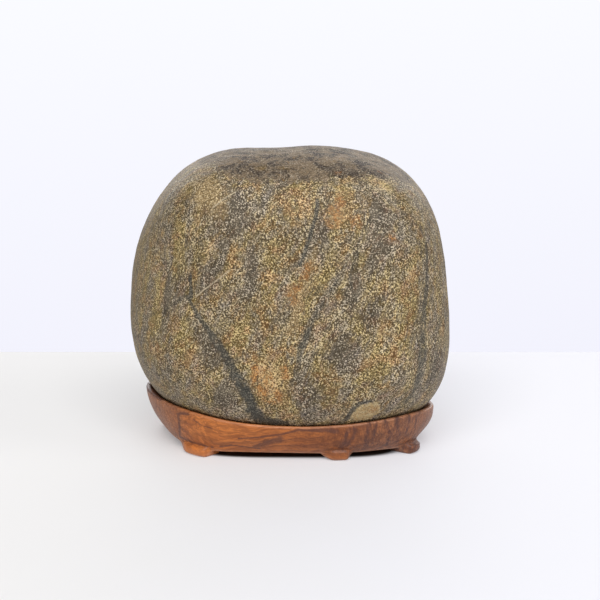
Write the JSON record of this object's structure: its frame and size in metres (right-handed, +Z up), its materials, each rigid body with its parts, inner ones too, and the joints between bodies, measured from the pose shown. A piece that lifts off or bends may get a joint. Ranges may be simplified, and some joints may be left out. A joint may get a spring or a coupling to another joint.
{
  "type": "scholar's rock on a carved wooden stand",
  "caption": "Rounded water-worn viewing stone with flat worn faces, resting in the recess of a low carved hardwood stand with small feet.",
  "frame": {"origin": "on the surface the stand rests on, at the middle of the whole object's box", "axes": "+Z up, -Y towards the front of the rock, +X to the right of someone looking at the front; the rock is widest along X and shallowest along Y"},
  "size_m": [0.1719, 0.1371, 0.1575],
  "materials": {
    "stone": "water-worn, dull, finely speckled pale beige on dark grey-brown, with ochre patches and dark veins",
    "wood": "orange-brown rosewood with dark grain lines, waxed to a satin sheen"
  },
  "bodies": {
    "root": {"stone": "stone", "stand": "wood"}
  },
  "joints": []
}
